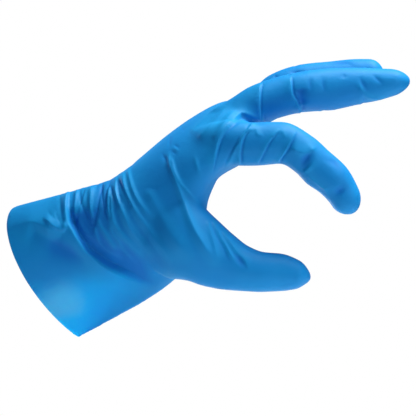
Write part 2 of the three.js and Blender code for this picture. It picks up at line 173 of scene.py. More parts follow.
# Folds of the film on the thumb side, seen from that side. Height is in millimetres, ridges up and
# furrows down; left and right are the widths of its two flanks, looking along the path; edge is how
# sharp its crest is (1 sharp, 2 round); groove is how deep the film is drawn in at the foot of the right
# flank. The path's stops are (x, z) in millimetres from the middle of the cuff's opening.
NEAR_FOLDS = (
    # Cuff: the dent under its back with the soft hollow below it, and the round pleat at its end
    ("dent", 2.9, 9.0, 6.0, 1.15, 0.0,
     ((-26, 21), (-20, 23.6), (-13, 25.8), (-7.1, 26.7), (-0.2, 24.5), (5.9, 22), (11, 19.5))),
    ("valley", -1.2, 5.0, 6.0, 1.7, 0.0,
     ((-10, 23.5), (-4, 21.5), (2, 17.5), (8, 13.5), (15, 10), (22, 6.5), (31, 1.5))),
    ("pucker", -0.25, 0.9, 0.9, 1.4, 0.0, ((1.5, 35), (3.5, 30.9), (5.9, 28.9), (9, 27))),
    ("lip", 1.2, 3.2, 1.0, 1.4, 0.0,
     ((-1, 29.5), (2.8, 27), (5.4, 24.9), (8, 23.4), (10.6, 22.9), (12.2, 24.8), (12, 29))),
    ("pleat", -0.5, 1.0, 1.4, 1.4, 0.0,
     ((7.6, 47), (8.6, 41), (9.2, 37), (10, 32), (10.8, 28), (12, 24.8))),
    # Cuff: the long hem-like ridge and the dark valley behind it
    ("hem", 1.9, 4.5, 1.0, 1.1, 0.0,
     ((64, -10), (57, -8), (50, -5.7), (44, -3.3), (39.3, -0.8), (33.2, 2.9), (29.1, 6.1), (25.5, 8.9),
      (22.2, 12.6), (19.8, 16.3), (17.7, 19.6), (16.1, 22.8), (14.1, 26.4), (12.9, 31), (12.5, 37),
      (13, 43), (15, 50))),
    ("valley", -3.3, 8.0, 1.6, 1.2, 0.0,
     ((14, 36), (14.8, 31.5), (16, 27.2), (18.1, 23.5), (19.8, 20.4), (22, 16.8), (24.2, 13.8),
      (27.3, 10.7), (31, 8), (35.2, 5), (41, 1.6), (46.5, -0.8), (52, -3.4), (58, -6), (65, -8.5))),
    # Wrist: pleats with round ends that hang from its back
    ("pleat", -0.5, 0.8, 0.9, 1.3, 0.0,
     ((14.6, 48), (13.9, 41), (14.3, 34.6), (16, 29.5), (16.9, 28.4), (17.8, 29.5), (19, 33), (20.2, 37),
      (21.5, 42), (24, 50))),
    ("tongue", 0.7, 1.0, 1.0, 1.8, 0.0, ((18.5, 50), (17.2, 36), (16.9, 30))),
    ("ridge", 0.8, 1.5, 2.2, 1.6, 0.0,
     ((25, 50), (22, 41), (20, 35.5), (18.6, 30.4), (20.8, 24.4), (24.1, 20.2), (27.8, 17), (32, 13.5))),
    ("pleat", -0.55, 0.9, 1.0, 1.3, 0.0,
     ((19.5, 49), (20.2, 41), (21.8, 35), (24, 30.5), (26.4, 26.4), (27.2, 25.8), (27.9, 27),
      (28.8, 30.5), (29.7, 34.5), (31, 42), (33.5, 53))),
    ("tongue", 0.8, 1.3, 1.3, 1.9, 0.0, ((26.5, 52), (26, 37), (27, 28.5))),
    ("pleat", -0.5, 0.7, 0.9, 1.3, 0.0,
     ((32.5, 54), (32.2, 47), (32.7, 41), (33.5, 36.7), (34.2, 33.5), (35.4, 30.3), (36.8, 28))),
    ("pleat", -0.5, 0.7, 0.7, 1.3, 0.0,
     ((38.5, 55), (36.5, 49), (34.8, 44), (34.4, 40.6), (34.9, 36.7), (35.4, 33.5))),
    ("pleat", -0.45, 0.7, 0.7, 1.3, 0.0, ((37, 42), (37.2, 36), (37.7, 31), (37.4, 28.3))),
    ("tongue", 0.6, 0.8, 0.8, 1.8, 0.0, ((36.8, 50), (36, 37), (36.8, 29.6))),
    ("pleat", -0.6, 0.8, 0.9, 1.3, 0.0, ((37, 49), (38.6, 43), (40, 39.8), (41.6, 36.4), (42.7, 34.5))),
    ("pleat", -0.5, 0.7, 0.7, 1.3, 0.0, ((40.6, 52), (41.9, 43.8), (43.2, 39.6), (43.3, 36.8))),
    ("tongue", 0.6, 0.8, 0.8, 1.8, 0.0, ((39.8, 56), (41, 43.3), (42.6, 37))),
    ("pleat", -0.7, 0.8, 1.0, 1.3, 0.0, ((41.5, 52), (44.6, 45.2), (46.2, 41.8), (48, 38), (50, 34.5))),
    # Wrist: long round ridges that run down towards the thumb, dark on their lower left
    ("ridge", 1.05, 1.5, 2.4, 1.7, 0.3,
     ((43.8, 59), (44.6, 51), (46.3, 44), (48.5, 39.2), (50.8, 35.4), (53.2, 31.8), (55.6, 28.2),
      (58.4, 24.9), (61.1, 21.3), (64, 17.3), (67, 13.2), (70.5, 8.5), (75, 2))),
    ("ridge", 0.65, 1.3, 1.4, 1.7, 0.0,
     ((46.5, 60), (48.5, 50.5), (51, 43.5), (53.3, 39), (56.3, 35), (60, 31), (64.5, 27.5))),
    ("ridge", 0.95, 1.3, 2.3, 1.6, 0.3,
     ((38.4, 46), (37.8, 39), (37.9, 34), (38.9, 28.8), (40.9, 25.1), (43.3, 21.5), (45.9, 18.6),
      (48.7, 15.8), (51.6, 12.6), (55.5, 8.2), (60, 3))),
    ("ridge", 1.05, 2.0, 2.2, 1.6, 0.3,
     ((39, 50), (40.5, 44), (42.6, 37.5), (45, 32), (47.2, 27.2), (49.6, 22.9), (52.4, 19.2),
      (55.4, 15.6), (59, 11.5), (64.5, 5))),
    ("ridge", 0.9, 1.2, 2.2, 1.6, 0.0,
     ((28.7, 26.5), (29, 21.5), (30.6, 17.1), (32.7, 13.8), (35.6, 10.8), (39, 8.4), (44.5, 4.5))),
    ("ridge", 0.8, 1.2, 2.0, 1.6, 0.0, ((29.8, 30), (32, 25), (34.3, 21.5), (36.4, 18), (39, 14), (43, 9))),
    ("ridge", 0.7, 1.2, 1.8, 1.6, 0.0,
     ((36.2, 27), (38.5, 21.2), (41.2, 17.4), (43.3, 13.9), (45.6, 10.8), (48.5, 7), (53, 1.5))),
    ("ridge", 0.75, 3.0, 3.6, 1.8, 0.0,
     ((58, 47), (61, 40.5), (64.6, 34), (68, 27.5), (71, 21.5), (75, 16), (80, 11), (86, 5))),
    ("pucker", -0.15, 0.9, 0.9, 1.5, 0.0, ((56, 47.6), (62, 46), (68, 48.3))),
    # Palm and back of the hand: the long fold from the knuckle to the thumb, and its branch
    ("fan", 1.1, 1.6, 1.7, 1.5, 0.1,
     ((70.2, 68), (70.6, 61), (72.2, 56), (74, 51.5), (76.2, 45.5), (79, 37.6), (81.5, 30.4),
      (84.9, 22.6), (88.4, 16.8), (91.8, 11.6), (95.5, 6.6), (100, 1))),
    ("tuck", 0.5, 0.9, 0.9, 1.4, 0.0,
     ((71.6, 64.5), (73, 58.1), (74.8, 53.4), (77.2, 48.8), (80.6, 44.8), (85, 40.4), (89.5, 36))),
    ("pucker", -0.35, 0.8, 1.0, 1.4, 0.0, ((65.3, 67.3), (68, 63.3), (70.4, 58.8))),
    ("pucker", -0.25, 0.9, 0.9, 1.3, 0.0, ((71.5, 71.8), (74.2, 70.2), (77, 67.8))),
    ("pucker", 0.2, 0.9, 0.9, 1.4, 0.0, ((72, 70), (74, 68.6), (76.5, 66.2))),
    ("pucker", -0.25, 0.9, 0.9, 1.3, 0.0, ((70.5, 68.4), (72.8, 66.6), (75.4, 64.6))),
    ("pucker", -0.3, 0.8, 0.8, 1.5, 0.0, ((70.8, 82), (70.6, 74), (70.2, 67))),
    ("pucker", -0.25, 1.3, 1.3, 1.4, 0.0, ((77, 82), (78, 80), (78.5, 78))),
    ("pucker", 0.4, 1.0, 1.2, 1.5, 0.0, ((84.6, 67), (85.5, 61.6), (86.8, 57.4), (89, 51))),
    ("ridge", 0.6, 1.8, 1.8, 1.5, 0.0, ((82, 77), (85, 80), (90, 85), (97, 91), (103, 95))),
    ("ridge", 0.6, 1.6, 1.6, 1.5, 0.0, ((86, 74), (89.5, 77), (95, 82.5), (102.5, 90.5), (106, 94))),
    ("ridge", 0.6, 1.6, 1.6, 1.5, 0.0, ((95, 73), (98, 77), (104, 85.5), (109.5, 91))),
    ("pucker", -0.3, 1.2, 1.2, 1.4, 0.0, ((81.5, 88.3), (83.5, 87.3), (85.5, 86))),
    # Index stall: creases round its root, and the facets where it bends
    ("sheet", 0.8, 3.0, 0.8, 1.3, 0.4,
     ((94.2, 53), (95, 58.8), (96.1, 64.8), (97.4, 70.5), (99.1, 75.1), (103.4, 81.1), (106.4, 84.1),
      (109.8, 87.5), (111.1, 88.4), (115, 87.5), (119.3, 85.8), (121.8, 85.4), (127, 85))),
    ("tuck", 0.6, 1.7, 0.75, 1.2, 0.3,
     ((120, 84.5), (116.8, 82), (114.6, 78.4), (112.5, 76.2), (110.4, 73.6), (108.7, 70.4), (107, 67.6),
      (105.5, 64.6), (104, 61.6), (102.5, 58.4), (100.5, 54))),
    ("crease", 0.5, 1.4, 0.7, 1.2, 0.6,
     ((110, 58.5), (109.9, 64.5), (110.2, 69), (111.3, 73.8), (113, 77), (117, 80.5))),
    ("crease", 0.45, 1.4, 0.7, 1.2, 0.5,
     ((119.4, 59), (121.3, 63.2), (123.1, 66.6), (124.8, 70.2), (126.6, 73.2), (128.8, 75.9),
      (133.5, 80))),
    ("tuck", 0.55, 1.5, 0.7, 1.2, 0.5,
     ((131, 59.5), (132.1, 62.6), (134.6, 66), (137.4, 70.8), (140, 75.4), (142.5, 80))),
    ("lip", 1.2, 2.8, 1.3, 1.1, 0.0,
     ((137.5, 69.4), (141.5, 67.4), (145.5, 66), (148, 66.5), (153.3, 69.7))),
    ("pucker", -1.2, 2.2, 2.2, 1.9, 0.0, ((152, 70), (148.6, 65.4), (146, 61), (144, 55.5))),
    ("dent", 0.7, 1.8, 0.9, 1.3, 0.2, ((154.2, 63.8), (151, 60.2), (147.8, 57), (145, 54.2))),
    ("pucker", -0.45, 1.8, 1.8, 1.6, 0.0, ((155, 63), (162.5, 61), (167, 53))),
    ("crease", 0.4, 1.4, 1.0, 1.4, 0.2, ((147.5, 54), (153, 49.5), (159.5, 44.5))),
    ("pucker", -0.8, 3.0, 3.0, 1.8, 0.0, ((164.5, 48), (166, 45), (167.5, 42))),
    ("lip", 0.35, 2.0, 1.0, 1.4, 0.0, ((112.5, 76), (116, 78.5), (119, 79.2), (120, 76.5), (124, 75))),
    ("lip", 0.35, 2.0, 1.0, 1.4, 0.0, ((127, 73), (130.5, 76.5), (134, 78), (135, 75.5), (137, 73.5))),
    # Middle stall: the edge of the hand's film before its root, and the creases at its joints
    ("crease", 0.6, 3.5, 0.6, 1.2, 0.4, ((121, 84), (121.3, 90), (121.3, 97), (121.6, 102), (123, 107.5))),
    ("crease", 0.55, 3.0, 0.6, 1.2, 0.5,
     ((144.4, 89.5), (142.4, 95), (139.8, 100), (139.1, 107.5), (139.3, 111))),
    ("pleat", -0.8, 2.8, 2.8, 1.8, 0.0, ((144.5, 103), (145, 98), (146, 93.5))),
    ("pucker", -0.4, 1.4, 1.4, 1.5, 0.0, ((150.5, 111), (150, 105), (151, 100))),
    ("pucker", -0.4, 1.4, 1.4, 1.5, 0.0, ((157, 111.5), (157.5, 105), (158, 99))),
    ("pucker", -0.3, 1.3, 1.3, 1.5, 0.0, ((169, 112), (169.2, 110), (169.5, 108))),
    ("pucker", -0.5, 1.5, 1.5, 1.5, 0.0, ((177.5, 112), (180.5, 104.5), (185.5, 100.5))),
    ("pucker", -0.5, 1.3, 1.3, 1.5, 0.0, ((184.5, 112), (188.5, 108), (193, 104))),
    ("lip", 0.6, 1.6, 1.2, 1.4, 0.0,
     ((177.5, 108), (178.5, 103.5), (181.5, 99.5), (187, 97.5), (196, 97.5))),
    # Ring stall
    ("pucker", -0.6, 1.4, 1.4, 1.5, 0.0, ((157, 118.5), (170, 118.5), (178, 115))),
    ("pucker", -0.6, 1.2, 1.2, 1.5, 0.0, ((137, 113.5), (143, 113), (150, 112.5))),
    ("pucker", -0.5, 1.1, 1.1, 1.5, 0.0, ((130, 112), (131, 110.5), (131.8, 109))),
    # Thumb stall
    ("ridge", 0.7, 1.4, 0.9, 1.4, 0.2,
     ((94.3, 29), (96, 25), (98, 21.1), (101.5, 15.4), (104.9, 9.1), (109, 4.5))),
    ("ridge", 0.5, 1.4, 1.2, 1.5, 0.0, ((91.8, 29), (93.5, 22.2), (95.2, 16.5), (96.6, 11), (98.5, 5.5))),
    ("ridge", 0.7, 1.5, 1.0, 1.4, 0.3, ((99.5, 23), (103.5, 17), (108.5, 10.5), (113, 5.5), (116, 1))),
    ("pucker", -0.9, 1.6, 1.6, 1.5, 0.0, ((105.5, 13.5), (110.5, 7.5), (113, 4), (114, 0))),
)

# Folds of the little finger's side, which the picture doesn't show: the same wrist folds run on round it,
# and the stalls crease at their roots and joints. Stops are (x, z) as above.
FAR_FOLDS = (
    ("ridge", 0.9, 1.8, 2.2, 1.7, 0.0, ((11, 49), (13, 41), (17, 33), (23, 25), (30, 17), (39, 9))),
    ("valley", -1.8, 5.0, 2.0, 1.3, 0.0, ((15.5, 48), (18, 38), (23, 29.5), (29.5, 21), (37, 13), (47, 5))),
    ("ridge", 0.8, 1.4, 1.8, 1.6, 0.0, ((22, 52), (24, 42), (28, 34), (33.5, 26), (40, 18), (48, 9))),
    ("pleat", -0.6, 0.9, 0.9, 1.4, 0.0, ((27, 52), (27.5, 44), (30, 38), (34, 32))),
    ("ridge", 0.9, 1.4, 2.0, 1.6, 0.2, ((31, 55), (32, 45), (35.5, 37), (40.5, 29), (47, 20), (56, 10))),
    ("ridge", 0.8, 1.4, 2.0, 1.6, 0.2, ((37, 57), (38.5, 47), (42, 39), (47.5, 31), (54, 22), (62.5, 12))),
    ("pleat", -0.6, 0.8, 0.8, 1.4, 0.0, ((40, 57), (41.5, 48), (45, 41.5))),
    ("ridge", 0.9, 1.6, 2.2, 1.7, 0.2,
     ((43.5, 60), (45.5, 50), (49.5, 42), (55.5, 33.5), (63, 24.5), (72, 15))),
    ("ridge", 0.7, 1.8, 2.0, 1.7, 0.0, ((50, 62), (52.5, 52), (57.5, 44), (64.5, 36), (73, 27))),
    ("ridge", 0.8, 2.6, 3.0, 1.8, 0.0, ((58, 64), (62, 54), (68, 46), (76.5, 37.5), (86, 28))),
    ("pucker", -0.6, 2.5, 2.5, 1.8, 0.0, ((82, 38), (88, 49), (92, 62))),
    ("crease", 0.7, 1.8, 0.8, 1.2, 0.6, ((103.5, 70), (103, 77), (101.5, 84), (99.5, 92))),
    ("crease", 0.7, 1.8, 0.8, 1.2, 0.6, ((111, 75), (110, 82), (108, 89), (106, 96))),
    ("crease", 0.6, 1.6, 0.8, 1.2, 0.6, ((136, 88), (134.8, 95), (133.8, 101), (133.5, 108))),
    ("crease", 0.5, 1.4, 0.8, 1.2, 0.5, ((158.5, 91), (157.5, 97), (157.3, 102), (157.5, 108))),
    ("crease", 0.6, 1.5, 0.8, 1.2, 0.5, ((131, 61), (134.5, 68.5), (138.5, 75), (142.5, 81))),
    ("crease", 0.6, 1.5, 0.8, 1.2, 0.5, ((144, 54), (148, 59.5), (152, 64), (156.5, 69))),
    ("ridge", 0.5, 1.4, 1.4, 1.5, 0.0, ((84, 27), (88, 19), (93, 12), (98.5, 4))),
)

# Folds across the back and under the palm and the stalls, seen from above. Stops are (x, y).
BACK_FOLDS = (
    ("pucker", -0.2, 1.1, 1.4, 1.5, 0.0, ((12, -24), (10.5, -8), (11, 7), (13, 24))),
    ("pucker", 0.2, 1.4, 1.8, 1.6, 0.0, ((22, -24), (20.5, -8), (21, 8), (23, 24))),
    ("pucker", -0.2, 1.0, 1.2, 1.5, 0.0, ((30.5, -24), (29.5, -6), (30, 9), (32, 24))),
    ("pucker", -0.2, 1.0, 1.2, 1.5, 0.0, ((38.5, -24), (36, -7), (36.5, 8), (39, 24))),
    ("pucker", 0.2, 1.3, 1.6, 1.6, 0.0, ((44.5, -24), (42, -6), (42.5, 10), (45, 26))),
    ("pucker", -0.2, 1.4, 1.6, 1.6, 0.0, ((51, -22), (49, -5), (49.5, 12), (52, 28))),
    ("pucker", -0.2, 1.0, 1.0, 1.5, 0.0, ((138, -9), (138.6, 2), (138, 12))),
    ("pucker", -0.2, 1.0, 1.0, 1.5, 0.0, ((141, -9), (141.6, 2), (141, 12))),
    ("pucker", -0.2, 1.0, 1.0, 1.5, 0.0, ((142, 15), (142.6, 24), (142, 33))),
    ("pucker", -0.2, 1.0, 1.0, 1.5, 0.0, ((130.5, 36), (131, 44), (130.5, 52))),
)
PALM_FOLDS = (
    ("crease", 0.5, 1.8, 1.0, 1.3, 0.5, ((143.5, -13), (144.6, 0), (144, 14))),
    ("crease", 0.5, 1.8, 1.0, 1.3, 0.5, ((147, 13), (148.2, 24), (147.5, 36))),
    ("crease", 0.45, 1.6, 1.0, 1.3, 0.4, ((134.5, 33), (135.6, 44), (135, 54))),
    ("crease", 0.2, 1.5, 1.2, 1.3, 0.2, ((178, -10), (179, 1), (178.5, 13))),
    ("crease", 0.4, 1.5, 1.0, 1.3, 0.4, ((171, 13), (172, 23), (171.5, 34))),
    ("crease", 0.2, 1.4, 1.2, 1.3, 0.2, ((156.5, 34), (157.5, 43), (157, 52))),
    ("crease", 0.5, 1.8, 1.0, 1.3, 0.5, ((121.5, -12), (122.5, 0), (121.5, 13))),
    ("crease", 0.5, 1.8, 1.0, 1.3, 0.5, ((115, 13), (116.2, 24), (114.5, 36))),
    ("crease", 0.45, 1.6, 1.0, 1.3, 0.4, ((107, 33), (108, 43), (106.5, 54))),
    ("pucker", -0.9, 3.0, 3.0, 1.8, 0.0, ((85, -30), (81, -10), (84, 12), (92, 36))),
    ("pucker", -0.8, 2.6, 2.6, 1.8, 0.0, ((93, -28), (97, -8), (101, 14), (102, 40))),
)

# Each side's folds, the two axes of its view, the axis and sign that face it, and how far the skin has to
# face that way for the folds to start and to stand in full.
FOLD_SIDES = (
    (NEAR_FOLDS, (0, 2), 1, -1, (-0.10, 0.50)),
    (FAR_FOLDS, (0, 2), 1, 1, (0.00, 0.50)),
    (BACK_FOLDS, (0, 1), 2, 1, (0.30, 0.80)),
    (PALM_FOLDS, (0, 1), 2, -1, (0.30, 0.80)),
)

# How far a fold reaches in widths, where its groove lies in widths of the right flank, and the steps that a
# path takes from stop to stop.
FOLD_REACH = 4
GROOVE_PLACE = 1.6
PATH_STEPS = 8

# Rings and sides of the limbs' grids, and how far the body is carried on past the rim.
BODY_GRID = (90, 96)
STALL_GRID = (70, 48)
LEAD = 16 * MM

# Smoothing of the whole skin and of the palm edge, which lies below a blurred height in millimetres: the
# passes of each, and the share of each pass that is given back.
SKIN_PASSES = 10
EDGE_PASSES = 70
EDGE_BLUR = (-10, 10)
GIVEN_BACK = 0.52

# The film hangs free below this line of the side view: its height over the origin and fall per
# millimetre, the blur of the change, and where along the glove it starts and ends, in millimetres.
FREE_LINE = {"height": -3, "fall": -0.18, "blur": 15, "start": 20, "end": 90}

# A painted highlight low on the cuff's thumb side, where a pale blue is painted into the film: its middle (x,
# z) in the side view, its reach, and its crisp border towards the hand with the width of that border, in
# millimetres.
# The painted highlight comes in over the millimetres given next, from the cuff's middle plane to the thumb
# side.
PAINTED_HIGHLIGHT_PATCH = {"middle": (10, -21), "reach": 19, "border": 24, "blur": 3.5}
PAINTED_HIGHLIGHT_SIDE = 4.0

# The film's patterns, each finer than the last, as a scale per metre and a detail.
CLOUDS = (28, 3)
GLOSS = (140, 4)
RIPPLES = (180, 3)
GRAIN = (1400, 2)

# The film's finish: how much the clouds tell, the relief in millimetres at which the painted shade of the
# furrows starts and is full, its roughness, the strength and height of its bumps, and how much light shines
# through it where it lies close and where it hangs free.
CLOUD_SHARE = 0.55
# Relief over which the furrows take their painted shade, from none to full.
FURROW_SHADE_RELIEF = (0.3, -1.6)
ROUGHNESS = (0.50, 0.62)
RIPPLE_TWIST = 0.6
RIPPLE_BUMP = (0.35, 0.4 * MM)
GRAIN_BUMP = (0.10, 0.05 * MM)
SHEEN_LEVEL = 0.13
GLOW = (0.05, 0.70)
GLOW_COLOUR = (0.15, 1.0, 1.0)
GLOW_DEPTH = 2 * MM

# The stage, in metres: the middle of the view and its width, the camera's distance and sensor in
# millimetres, the floor's height and reach, and the room's light.
VIEW_CENTRE = (0.0923, 0.007, 0.0353)
VIEW_WIDTH = 0.237
CAMERA_DISTANCE = 2.0
SENSOR_WIDTH = 36
FLOOR_HEIGHT = -0.106
FLOOR_REACH = 0.36
ROOM_COLOUR = (0.58, 0.66, 1.0, 1)
ROOM_STRENGTH = 0.29

# Soft lights: name, place, aim, size, power in watts and colour. The last two shine through the cuff.
LIGHTS = (
    ("top_light", (0.3723, 0.027, 0.7953), VIEW_CENTRE, 0.45, 14.6, (0.95, 1.0, 0.85)),
    ("front_light", (0.4123, -0.273, 0.1153), VIEW_CENTRE, 0.25, 0.62, (0.85, 1.0, 0.95)),
    ("patch_light", (-0.22, 0.60, -0.12), (0.01, 0.0, -0.02), 0.08, 2.0, (1.0, 0.95, 0.62)),
    ("cuff_light", (-0.45, 0.42, -0.02), (0.02, 0.0, -0.01), 0.25, 6.8, (1.0, 1.0, 1.0)),
)


class GloveSizes(bpy.types.PropertyGroup):
    """Sizes of the glove's limbs and film, in metres."""

    hand_length: FloatProperty(name="Hand length", unit="LENGTH", default=126 * MM,
                               description="Middle of the cuff's opening to the index knuckle")
    cuff_deep: FloatProperty(name="Cuff depth", unit="LENGTH", default=83 * MM,
                             description="Cuff from palm edge to back")
    cuff_wide: FloatProperty(name="Cuff breadth", unit="LENGTH", default=52 * MM,
                             description="Cuff from side to side")
    wrist_deep: FloatProperty(name="Wrist depth", unit="LENGTH", default=68.5 * MM,
                              description="Wrist from palm edge to back")
    wrist_wide: FloatProperty(name="Wrist breadth", unit="LENGTH", default=58 * MM,
                              description="Wrist from side to side")
    knuckle_deep: FloatProperty(name="Knuckle depth", unit="LENGTH", default=36 * MM,
                                description="Hand at the knuckles from palm to back")
    knuckle_wide: FloatProperty(name="Knuckle breadth", unit="LENGTH", default=78 * MM,
                                description="Hand at the knuckles from side to side")
    index_length: FloatProperty(name="Index length", unit="LENGTH", default=92 * MM,
                                description="Index knuckle to fingertip")
    middle_length: FloatProperty(name="Middle length", unit="LENGTH", default=104 * MM,
                                 description="Middle knuckle to fingertip")
    ring_length: FloatProperty(name="Ring length", unit="LENGTH", default=90 * MM,
                               description="Ring knuckle to fingertip")
    little_length: FloatProperty(name="Little length", unit="LENGTH", default=78 * MM,
                                 description="Little knuckle to fingertip")
    thumb_length: FloatProperty(name="Thumb length", unit="LENGTH", default=92 * MM,
                                description="Thumb root to its tip")
    index_thick: FloatProperty(name="Index thickness", unit="LENGTH", default=23 * MM,
                               description="Index stall at its root")
    middle_thick: FloatProperty(name="Middle thickness", unit="LENGTH", default=24 * MM,
                                description="Middle stall at its root")
    ring_thick: FloatProperty(name="Ring thickness", unit="LENGTH", default=21.5 * MM,
                              description="Ring stall at its root")
    little_thick: FloatProperty(name="Little thickness", unit="LENGTH", default=19 * MM,
                                description="Little stall at its root")
    thumb_thick: FloatProperty(name="Thumb thickness", unit="LENGTH", default=43 * MM,
                               description="Thumb stall at its root")
    film: FloatProperty(name="Film", unit="LENGTH", default=0.35 * MM,
                        description="Thickness of the film")
    facet: FloatProperty(name="Facet", unit="LENGTH", default=1.1 * MM,
                         description="Size of the bare skin's facets, which are then halved")
    most_faces: IntProperty(name="Most faces", default=96000,
                            description="Triangles of the skin, before the film gets its thickness")
    fold_share: FloatProperty(name="Fold height", default=1.2,
                              description="Height of all folds, as a share of the tables' heights")
    smoothing: IntProperty(name="Smoothing", default=44,
                           description="Smoothing passes where the stalls grow out of the palm")


class GloveColours(bpy.types.PropertyGroup):
    """Colours of the film and the floor."""

    film: FloatVectorProperty(name="Film", subtype="COLOR", size=3, default=(0.004, 0.232, 0.545),
                              description="Main blue of the film")
    # The thick film's deep blue is the clouds' random tone, and also painted shade where the film lies low in
    # furrows.
    deep: FloatVectorProperty(name="Thick film", subtype="COLOR", size=3, default=(0.003, 0.135, 0.475),
                              description="Blue where the film is slack and looks thicker")
    # The pale blue is a painted highlight, mixed into the film low on the cuff's thumb side.
    pale: FloatVectorProperty(name="Pale film", subtype="COLOR", size=3, default=(0.055, 0.22, 0.48),
                              description="Blue of the pale patch low on the cuff")
    floor: FloatVectorProperty(name="Floor", subtype="COLOR", size=3, default=(0.92, 0.92, 0.92),
                               description="Pale studio floor")


def smooth_column(stops, values, at):
    """A curve through the values with no overshoot: on each span the cubic that has the values at its
    ends and, as slopes, the weighted harmonic mean of the neighbouring chords, or none at a turn."""
    stops = np.asarray(stops, float)
    values = np.asarray(values, float)
    steps = np.diff(stops)
    chords = np.diff(values) / steps
    slopes = np.zeros_like(values)
    slopes[0] = chords[0]
    slopes[-1] = chords[-1]
    before = 2 * steps[1:] + steps[:-1]
    after = steps[1:] + 2 * steps[:-1]
    same = chords[:-1] * chords[1:] > 0
    left = np.where(same, chords[:-1], 1.0)
    right = np.where(same, chords[1:], 1.0)
    slopes[1:-1] = np.where(same, (before + after) / (before / left + after / right), 0.0)
    span = np.clip(np.searchsorted(stops, at, side="right") - 1, 0, len(steps) - 1)
    t = (at - stops[span]) / steps[span]
    return ((2 * t**3 - 3 * t**2 + 1) * values[span] + (t**3 - 2 * t**2 + t) * steps[span] * slopes[span]
            + (3 * t**2 - 2 * t**3) * values[span + 1] + (t**3 - t**2) * steps[span] * slopes[span + 1])


def smooth_step(value, low, high):
    """0 below low, 1 above high, and 3t^2 - 2t^3 between, where t is the share of the way."""
    t = np.clip((value - low) / (high - low), 0.0, 1.0)
    return t * t * (3 - 2 * t)


def limb_grid(rows, rings, sides, round_end, lead=0.0):
    """An oval section carried along a line. The point at share u and angle v is the line's point, plus
    half the depth times cos v upwards, plus half the breadth times sin v towards the thumb side; the
    breadth is also multiplied by ((1 + cos v) / 2) to the power of crease, which presses the palm edge.
    Over the last round_end of the line both halves shrink as a quarter circle. lead is how far the
    first section is carried on before the start."""
    middles = np.array([row["middle"] for row in rows])
    stops = np.concatenate([[0.0], np.cumsum(np.linalg.norm(np.diff(middles, axis=0), axis=1))])
    total = stops[-1]
    straight = 1 - round_end / total
    end_rings = max(6, rings // 5)
    main = straight * np.linspace(0.0, 1.0, rings - end_rings)
    end = straight + (1 - straight) * np.sin(math.pi / 2 * np.arange(1, end_rings + 1) / end_rings)
    share = np.concatenate([main, end])
    share[-1] -= 1e-6

    def column(name):
        return smooth_column(stops / total, [row.get(name, 0.0) for row in rows], share)

    line = np.stack([smooth_column(stops / total, middles[:, k], share) for k in range(3)], axis=1)
    tilt, turn, roll = (np.radians(column(name)) for name in ("tilt", "turn", "roll"))
    zero = np.zeros_like(tilt)
    ahead = np.stack([np.cos(tilt), zero, np.sin(tilt)], axis=1)
    back = np.stack([-np.sin(tilt), zero, np.cos(tilt)], axis=1)
    near = np.stack([zero, -np.cos(turn), zero], axis=1) - ahead * np.sin(turn)[:, None]
    top = back * np.cos(roll)[:, None] + near * np.sin(roll)[:, None]
    side = near * np.cos(roll)[:, None] - back * np.sin(roll)[:, None]
    shrink = np.sqrt(1 - (np.maximum(0.0, share - straight) / (1 - straight)) ** 2)
    angle = 2 * math.pi * np.arange(sides) / sides
    pressed = ((1 + np.cos(angle)) / 2)[None, :] ** column("crease")[:, None]
    high = (column("deep") * shrink / 2)[:, None] * np.cos(angle)
    broad = (column("wide") * shrink / 2)[:, None] * np.sin(angle) * pressed
    grid = line[:, None] + high[..., None] * top[:, None] + broad[..., None] * side[:, None]
    if lead:
        grid = np.concatenate([grid[:1] - ahead[0] * lead, grid])
    return grid


def grid_faces(rings, sides):
    """Corners of the quads between neighbouring rings, and of the two many-sided ends."""
    ring = np.arange(rings - 1)[:, None] * sides
    here = np.arange(sides)[None, :]
    there = (here + 1) % sides
    quads = np.stack([ring + here, ring + there, ring + sides + there, ring + sides + here], axis=-1)
    faces = quads.reshape(-1, 4).tolist()
    faces.append(list(range(sides))[::-1])
    faces.append(list(range((rings - 1) * sides, rings * sides)))
    return faces


def body_rows(sizes):
    girths = {
        "cuff": (sizes.cuff_deep, sizes.cuff_wide),
        "wrist": (sizes.wrist_deep, sizes.wrist_wide),
        "knuckle": (sizes.knuckle_deep, sizes.knuckle_wide),
    }
    rows = []
    for values in BODY_SECTIONS:
        row = dict(zip(BODY_COLUMNS, values))
        deep, wide = girths[row["girth"]]
        row["middle"] = np.array([row["along"], row["away"], row["up"]]) * sizes.hand_length
        row["deep"] *= deep
        row["wide"] *= wide
        rows.append(row)
    return rows


def stall_rows(sizes, name):
    sections, knuckle, _ = STALLS[name]
    length = getattr(sizes, name + "_length")
    thick = getattr(sizes, name + "_thick")
    rows = []
    for values in sections:
        row = dict(zip(STALL_COLUMNS, values))
        share = np.array([row["along"], row["away"], row["up"]])
        row["middle"] = share * length + np.array(knuckle) * sizes.hand_length
        row["deep"] = row["thick"] * thick
        row["wide"] *= row["deep"]
        rows.append(row)
    return rows


def rim_plane(rows):
    """The cuff's rim lies in the plane of the first section: its middle, and the way out of it."""
    row = rows[0]
    tilt = math.radians(row["tilt"])
    turn = math.radians(row["turn"])
    ahead = np.array([math.cos(tilt), 0.0, math.sin(tilt)])
    back = np.array([-math.sin(tilt), 0.0, math.cos(tilt)])
    near = np.array([0.0, -math.cos(turn), 0.0]) - ahead * math.sin(turn)
    out = np.cross(near, back)
    if out @ ahead > 0:
        out = -out
    return row["middle"], out / np.linalg.norm(out)


